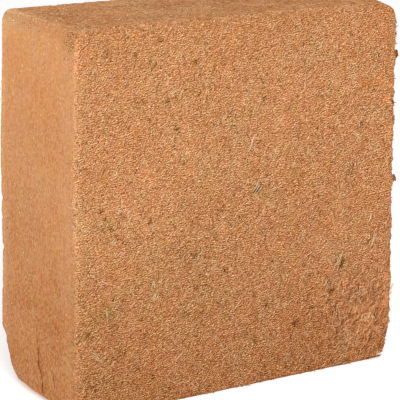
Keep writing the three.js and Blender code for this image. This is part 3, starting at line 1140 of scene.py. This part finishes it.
def make_tangles(sheet):
    groups = []
    for heights, out, count, length, tone in TANGLES:
        surface, _ = sheet.at(np.full(count, HALF[0]), within(heights, count))
        roots = surface + RANDOM.uniform(TANGLE_LOOK["innermost"], out, count)[:, None] * [1, 0, 0]
        roots[:, 2] += TANGLE_LOOK["lift"]
        roots[:, 1] -= within(TANGLE_LOOK["forward"], count)
        headings = around(TANGLE_LOOK["heading"], TANGLE_LOOK["spread"], count)
        lengths = within(length, count)
        turns = around(0, TANGLE_LOOK["turn"], count)
        tones = np.clip(around(tone, TANGLE_LOOK["tone"], count), 0, 1)
        radius = within(TANGLE_LOOK["radius"], count)
        hue = np.full(count, TANGLE_LOOK["hue"])
        groups.append(make_ends(roots, headings, lengths, turns, 0, radius, tones, hue))
    return groups


# Short ends that fringe the rims of the front face, for each rim as (the first and the last place
# they are rooted at, how many, which way they head in degrees)
FRINGES = [
    ((149.4, 12), (149.4, 288), 90, -20),
    ((-140, 0.6), (146, 0.6), 150, -90),
    ((-140, 299.4), (140, 299.4), 60, 90),
]
FRINGE_LOOK = {"length": (1.0, 2.8), "turn": 0.8, "radius": (0.22, 0.42), "spread": 40, "out": -0.5}
FRINGE_TONES = {"paler": 0, "spread": 0.12, "dark_share": 0.3, "pale_share": 0.25}


def make_fringes(sheet):
    groups = []
    for first, last, count, heading in FRINGES:
        places = mix(np.array(first, float), np.array(last, float), RANDOM.random(count)[:, None])
        surface, normals = sheet.at(*places.T)
        roots = surface - ROOT_DEPTH * normals
        headings = around(heading, FRINGE_LOOK["spread"], count)
        lengths = within(FRINGE_LOOK["length"], count)
        turns = around(0, FRINGE_LOOK["turn"], count)
        tone, hue = pick_tones(surface, 1, **FRINGE_TONES)
        radius = within(FRINGE_LOOK["radius"], count)
        groups.append(make_ends(roots, headings, lengths, turns, FRINGE_LOOK["out"], radius, tone, hue))
    return groups


# Materials


def linear(colour):
    """A colour given as 0 to 255 for the screen, as Blender's own light values, by the sRGB curve."""
    shares = [channel / 255 for channel in colour]
    return [s / 12.92 if s <= 0.04045 else ((s + 0.055) / 1.055) ** 2.4 for s in shares]


# The block's own grain. Each layer shifts the tone or the hue by half of its range either way
GRAIN = {"pitch": 0.6, "tone": 0.46, "hue": 0.06}
STROKES = {"scale": 0.4, "waves": 1.6, "lean": math.radians(72), "aligned": 0.5, "tone": 1.5}
WALL_SPECKS = {"pitch": 1.1, "stretch": (1, 0.9, 0.6), "tone": 0.16}
WALL_STREAKS = {"stretch": (0.5, 0.5, 0.03), "tone": 0.08}
STREAK_NOISE = {"Scale": 1.0, "Detail": 2.0}
TINT_NOISE = {"Scale": 0.07, "Detail": 4.0, "Roughness": 0.65}
TINTS = [(0.28, (248, 255, 241)), (0.72, (252, 244, 255))]
TOP_STRETCH = 0.5  # how much coarser the grain is along Y on the top
BUMP = {"Strength": 0.6, "Distance": 0.0003}
GRAIN_ROUGHNESS = 0.95
FIBRE_ROUGHNESS = 0.7


class Shader:
    """Builds one material's node tree, a node at a time."""

    def __init__(self, name):
        self.material = bpy.data.materials.new(name)
        self.material.use_nodes = True
        self.tree = self.material.node_tree
        self.surface = self.tree.nodes["Principled BSDF"]

    def put(self, socket, value):
        if isinstance(value, bpy.types.NodeSocket):
            self.tree.links.new(value, socket)
        else:
            socket.default_value = value

    def add(self, kind, inputs, **settings):
        node = self.tree.nodes.new(kind)
        for key, value in settings.items():
            setattr(node, key, value)
        for key, value in inputs.items():
            self.put(node.inputs[key], value)
        return node

    def math(self, operation, first, second, clamp=False):
        node = self.add("ShaderNodeMath", {0: first, 1: second}, operation=operation, use_clamp=clamp)
        return node.outputs[0]

    def scaled(self, value, factor, start):
        """The value times a factor, from a start."""
        node = self.add("ShaderNodeMath", {0: value, 1: factor, 2: start}, operation="MULTIPLY_ADD")
        return node.outputs[0]

    def spread(self, value, span):
        """A value from 0 to 1, made to run over the span, half of it below 0."""
        return self.scaled(value, span, -span / 2)

    def multiply(self, first, second):
        """One colour times another."""
        inputs = {0: 1.0, 6: first, 7: second}
        return self.add("ShaderNodeMix", inputs, data_type="RGBA", blend_type="MULTIPLY").outputs[2]

    def ramp(self, factor, stops):
        node = self.add("ShaderNodeValToRGB", {"Fac": factor})
        elements = node.color_ramp.elements
        while len(elements) < len(stops):
            elements.new(0.5)
        for element, (position, colour) in zip(elements, stops):
            element.position = position
            element.color = (*linear(colour), 1)
        return node.outputs["Color"]

    def noise(self, place, settings):
        return self.add("ShaderNodeTexNoise", {"Vector": place, **settings}).outputs["Fac"]

    def stretch(self, place, scale):
        return self.add("ShaderNodeMapping", {"Vector": place, "Scale": scale}).outputs[0]

    def strokes(self, place):
        """Fine parallel strokes, seen on the large faces. Input 5 is the direction across them."""
        inputs = {
            "Vector": place,
            "Scale": STROKES["scale"],
            "Frequency": STROKES["waves"],
            "Anisotropy": STROKES["aligned"],
            5: (math.sin(STROKES["lean"]), 0, -math.cos(STROKES["lean"])),
        }
        return self.add("ShaderNodeTexGabor", inputs, gabor_type="3D").outputs["Value"]

    def tint(self, place):
        """Faint drifts of the hue from greenish to pinkish."""
        return self.ramp(self.noise(place, TINT_NOISE), TINTS)

    def cells(self, place, pitch):
        """Three random numbers for each cell."""
        cells = self.add("ShaderNodeTexVoronoi", {"Vector": place, "Scale": 1 / pitch}).outputs["Color"]
        return self.add("ShaderNodeSeparateColor", {0: cells}).outputs

    def attribute(self, name):
        return self.add("ShaderNodeAttribute", {}, attribute_name=name).outputs["Fac"]

    def coir_colour(self, tone, hue):
        return self.multiply(self.ramp(tone, TONES), self.ramp(hue, HUES))

    def coat(self, colour, roughness):
        """Gives the surface its colour, without gloss."""
        for key, value in (("Base Color", colour), ("Roughness", roughness), ("Specular IOR Level", 0.0)):
            self.put(self.surface.inputs[key], value)
        return self.material


def loose_coir(name, roughness):
    """Grains and fibres: their place on their map gives their tone and hue."""
    shader = Shader(name)
    place = shader.add("ShaderNodeUVMap", {}, uv_map="OFBake").outputs["UV"]
    parts = shader.add("ShaderNodeSeparateXYZ", {0: place}).outputs
    return shader.coat(shader.coir_colour(parts["X"], parts["Y"]), roughness)


def pressed_coir():
    """The block: granular on the rough faces, and fine, smooth and paler on the pressed walls."""
    shader = Shader("pressed_coir")
    metres = shader.add("ShaderNodeTexCoord", {}).outputs["Object"]
    place = shader.stretch(metres, (1 / MM, 1 / MM, 1 / MM))
    parts = shader.add("ShaderNodeSeparateXYZ", {0: place}).outputs
    squeeze = shader.scaled(shader.attribute("top"), -TOP_STRETCH, 1)
    depth = shader.math("MULTIPLY", parts["Y"], squeeze)
    layered = shader.add("ShaderNodeCombineXYZ", {0: parts["X"], 1: depth, 2: parts["Z"]}).outputs[0]
    rough = shader.attribute("rough")

    grain = shader.cells(layered, GRAIN["pitch"])
    grain_tone = shader.spread(grain[0], GRAIN["tone"])
    stroke_tone = shader.spread(shader.strokes(layered), STROKES["tone"])
    rough_tone = shader.math("ADD", grain_tone, stroke_tone)

    specks = shader.cells(shader.stretch(place, WALL_SPECKS["stretch"]), WALL_SPECKS["pitch"])
    speck_tone = shader.spread(specks[0], WALL_SPECKS["tone"])
    streaks = shader.noise(shader.stretch(place, WALL_STREAKS["stretch"]), STREAK_NOISE)
    wall_tone = shader.math("ADD", speck_tone, shader.spread(streaks, WALL_STREAKS["tone"]))

    detail = shader.add("ShaderNodeMix", {0: rough, 2: wall_tone, 3: rough_tone}).outputs[0]
    tone = shader.math("ADD", shader.attribute("tone"), detail, clamp=True)
    hue = shader.math("ADD", shader.attribute("hue"), shader.spread(grain[1], GRAIN["hue"]), clamp=True)
    colour = shader.multiply(shader.coir_colour(tone, hue), shader.tint(place))

    height = shader.math("MULTIPLY", grain[2], rough)
    bump = shader.add("ShaderNodeBump", {"Height": height, **BUMP})
    shader.put(shader.surface.inputs["Normal"], bump.outputs[0])
    return shader.coat(colour, GRAIN_ROUGHNESS)


# The bale


# How much softer the fine grain is at the left and at the top, where it comes on late
FINE_SOFTENING = {"left": 0.28, "top": 0.2, "top_power": 4}


def make_block():
    numbers, points, quads, rough, painted_crack_shade = make_block_points()
    corner_places = np.concatenate([block_map(side) for side in SIDES])
    # painted shade in the cracks darkens the tone
    tone = tone_at(points, rough) - painted_crack_shade
    low = 1 - points[:, 2] / SIZE[2]
    hue = mix(HUE["wall"] + HUE["wall_base"] * low, HUE["face"], rough) + hue_shift(points)
    leftwards = 0.5 - points[:, 0] / SIZE[0]
    upwards = (1 - low) ** FINE_SOFTENING["top_power"]
    fine = rough * (1 - FINE_SOFTENING["left"] * leftwards - FINE_SOFTENING["top"] * upwards)
    values = {"rough": fine, "tone": tone, "hue": hue, "top": at_top(points)}
    block = make_piece("pressed_block", points, quads, corner_places, pressed_coir(), True, values)
    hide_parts("coir_bale")
    normals = vertex_normals(block)
    sheets = {side: Sheet(side, numbers, points, normals) for side in SIDES}
    return sheets


BOX_MARGIN = 0.05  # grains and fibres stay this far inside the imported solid's box


def make_loose_piece(name, groups, material, smooth):
    """One object from groups of small shapes, held inside the box."""
    points, faces, places = merge(groups)
    low = np.array(cad_box[0]) / MM + BOX_MARGIN
    high = np.array(cad_box[1]) / MM - BOX_MARGIN
    points = np.clip(points, [low[0], low[1], 0], high)
    make_piece(name, points, faces, places, material, smooth)


# How many of each there are on the large faces, and their looks: their size, or length and width,
# how far they are lifted off the face, how much paler they are and how much that differs. The
# splinters are plain, dark and pale
CHIP_COUNTS = {"front": 38000, "back": 26000}
SPLINTER_COUNTS = {"front": (8000, 320, 500), "back": (6000, 320, 500)}
FIBRE_COUNTS = {"front": 2600, "back": 2200}
CHIP_LOOK = {"size": (0.32, 0.7), "lift": (-0.1, 0.3), "paler": 0, "spread": 0.18}
SPLINTER_LOOKS = [
    {"length": (1.8, 5), "width": (0.25, 0.45), "lift": (0.05, 0.4), "paler": 0.02, "spread": 0.1},
    {"length": (1.6, 3.6), "width": (0.7, 1.3), "lift": (0.1, 0.3), "paler": -0.26, "spread": 0.06},
    {"length": (1.2, 3.2), "width": (0.45, 0.8), "lift": (0.2, 0.4), "paler": 0.34, "spread": 0.06},
]


def make_grains(side, sheet, material):
    make_loose_piece("grains_" + side, [make_chips(sheet, CHIP_COUNTS[side], CHIP_LOOK)], material, False)
    kinds = zip(SPLINTER_COUNTS[side], SPLINTER_LOOKS)
    splinters = [make_splinters(sheet, count, look) for count, look in kinds]
    make_loose_piece("splinters_" + side, splinters, material, False)


def make_fibres(side, sheet, material):
    make_loose_piece("fibres_" + side, make_face_fibres(sheet, FIBRE_COUNTS[side]), material, True)


def make_front_marks(sheet, material):
    makers = (make_bundles, make_matted_corner, make_strays, make_tangles, make_fringes)
    groups = [group for make in makers for group in make(sheet)]
    make_loose_piece("straws_front", groups, material, True)


# Crumbs lie along the rims of the walls and all over the top, with a few on the rest. For each wall:
# how many chips, how densely all crumbs lie away from the rims, and how far they are lifted, which
# is little under the base
WALL_CRUMBS = [
    ("left", 5000, 0.012, 0.12),
    ("right", 5000, 0.012, 0.12),
    ("top", 11000, 0.3, 0.12),
    ("base", 5000, 0.012, 0.024),
]
WALL_SPLINTERS = 1200
WALL_CHIP_LOOK = {"size": (0.25, 0.65), "rough": 0.2, "paler": 0, "spread": 0.1}
WALL_SPLINTER_LOOK = {"length": (0.9, 2.6), "width": (0.25, 0.45), "rough": 0.2, "paler": 0, "spread": 0.08}
WALL_CHIP_DEPTH = 0.2  # how deep the chips are pressed in at most
CRUMB_RIM = {"reach": 5, "power": 1.5}


def make_wall_crumbs(sheets, material):
    groups = []
    for side, chip_count, between, lift in WALL_CRUMBS:
        sheet = sheets[side]
        face_distance = HALF[1] - np.abs(sheet.points[:-1, :-1, 1])
        weights = between + fade(face_distance, CRUMB_RIM["reach"]) ** CRUMB_RIM["power"]
        chips = {**WALL_CHIP_LOOK, "lift": (-WALL_CHIP_DEPTH, lift)}
        splinters = {**WALL_SPLINTER_LOOK, "lift": (0, lift)}
        groups.append(make_chips(sheet, chip_count, chips, weights))
        groups.append(make_splinters(sheet, WALL_SPLINTERS, splinters, weights))
    make_loose_piece("wall_crumbs", groups, material, False)


# Studio


FLOOR = {"size": 40, "colour": (0.93, 0.93, 0.93, 1), "roughness": 1.0, "glow": 0.33}


def make_floor():
    bpy.ops.mesh.primitive_plane_add(size=FLOOR["size"])
    floor = bpy.context.object
    floor.name = "floor"
    shader = Shader("pale_floor")
    shader.put(shader.surface.inputs["Emission Color"], (1, 1, 1, 1))
    shader.put(shader.surface.inputs["Emission Strength"], FLOOR["glow"])
    floor.data.materials.append(shader.coat(FLOOR["colour"], FLOOR["roughness"]))


SKY = {"horizon": 0.95, "zenith": 0.5}
KEY_LIGHT = {"place": (-0.55, -1.2, 0.95), "target": (0, 0, 0.25), "size": 0.8, "power": 18}


def make_sky():
    world = bpy.data.worlds.new("studio")
    bpy.context.scene.world = world
    world.use_nodes = True
    nodes, links = world.node_tree.nodes, world.node_tree.links
    place = nodes.new("ShaderNodeTexCoord")
    parts = nodes.new("ShaderNodeSeparateXYZ")
    strength = nodes.new("ShaderNodeMapRange")
    links.new(place.outputs["Generated"], parts.inputs[0])
    links.new(parts.outputs["Z"], strength.inputs["Value"])
    strength.inputs["To Min"].default_value = SKY["horizon"]
    strength.inputs["To Max"].default_value = SKY["zenith"]
    links.new(strength.outputs[0], nodes["Background"].inputs["Strength"])
    nodes["Background"].inputs["Color"].default_value = (1, 1, 1, 1)


def aim(target, place, tool):
    direction = Vector(target) - Vector(place)
    tool.location = place
    tool.rotation_euler = direction.to_track_quat("-Z", "Y").to_euler()


def make_key_light():
    light = bpy.data.lights.new("key", "AREA")
    light.size = KEY_LIGHT["size"]
    light.energy = KEY_LIGHT["power"]
    key = bpy.data.objects.new("key", light)
    bpy.context.scene.collection.objects.link(key)
    aim(KEY_LIGHT["target"], KEY_LIGHT["place"], key)


# Camera, fitted to the corners and the silhouette in the photograph, in metres and degrees
CAMERA = {
    "azimuth": -33.4753,
    "elevation": 14.4284,
    "roll": 0.8319,
    "distance": 1.5806,
    "shift_right": -0.00162,
    "shift_up": -0.00811,
    "middle_height": 0.15,
    "focal_pixels": 1962.56,
    "frame_pixels": 400,
    "sensor": 36,
}


def make_camera():
    azimuth, elevation, roll = (math.radians(CAMERA[key]) for key in ("azimuth", "elevation", "roll"))
    back = Vector(
        (
            math.sin(azimuth) * math.cos(elevation),
            -math.cos(azimuth) * math.cos(elevation),
            math.sin(elevation),
        )
    )
    right = Vector((math.cos(azimuth), math.sin(azimuth), 0))
    up = back.cross(right)
    target = Vector((0, 0, CAMERA["middle_height"]))
    target += right * CAMERA["shift_right"] + up * CAMERA["shift_up"]
    rolled_right = right * math.cos(roll) + up * math.sin(roll)
    rolled_up = up * math.cos(roll) - right * math.sin(roll)
    data = bpy.data.cameras.new("camera")
    data.sensor_width = CAMERA["sensor"]
    data.lens = CAMERA["focal_pixels"] * CAMERA["sensor"] / CAMERA["frame_pixels"]
    camera = bpy.data.objects.new("camera", data)
    bpy.context.scene.collection.objects.link(camera)
    place = target + back * CAMERA["distance"]
    turn = Matrix((rolled_right, rolled_up, back)).transposed().to_4x4()
    camera.matrix_world = Matrix.Translation(place) @ turn
    bpy.context.scene.camera = camera


make_camera()
make_floor()
make_sky()
make_key_light()
bpy.context.scene.view_settings.view_transform = "Standard"

sheets = make_block()
grain_material = loose_coir("coir_grain", GRAIN_ROUGHNESS)
fibre_material = loose_coir("coir_fibre", FIBRE_ROUGHNESS)
for side in ("front", "back"):
    make_grains(side, sheets[side], grain_material)
    make_fibres(side, sheets[side], fibre_material)
make_front_marks(sheets["front"], fibre_material)
make_wall_crumbs(sheets, grain_material)
